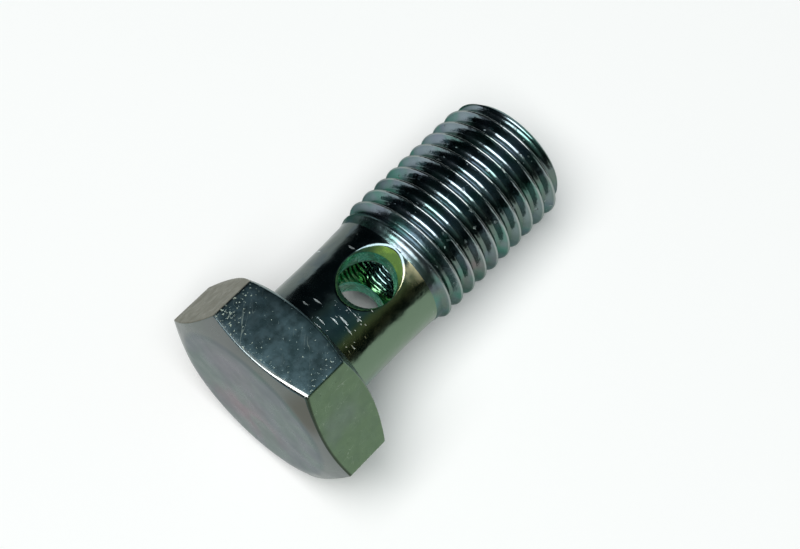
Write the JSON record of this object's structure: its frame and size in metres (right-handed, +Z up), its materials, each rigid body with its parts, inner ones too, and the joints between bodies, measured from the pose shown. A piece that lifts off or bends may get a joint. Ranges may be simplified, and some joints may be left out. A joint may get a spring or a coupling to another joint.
{
  "type": "banjo bolt",
  "caption": "Hollow hexagon-head bolt with a plain waist, a hole across the waist that meets a blind bore from the tip, and a threaded end.",
  "frame": {"origin": "centre of the bolt's bounding box on the surface that it lies on", "axes": "+X along the bolt from the head's end to the thread's tip, tipped down by 5.6 degrees as the bolt rests; +Z up"},
  "size_m": [0.033, 0.0196, 0.0174],
  "materials": {
    "zinc_plated_steel": "bright zinc plating with a faint green and pink sheen"
  },
  "bodies": {
    "root": {"banjo_bolt": "zinc_plated_steel"}
  },
  "joints": []
}
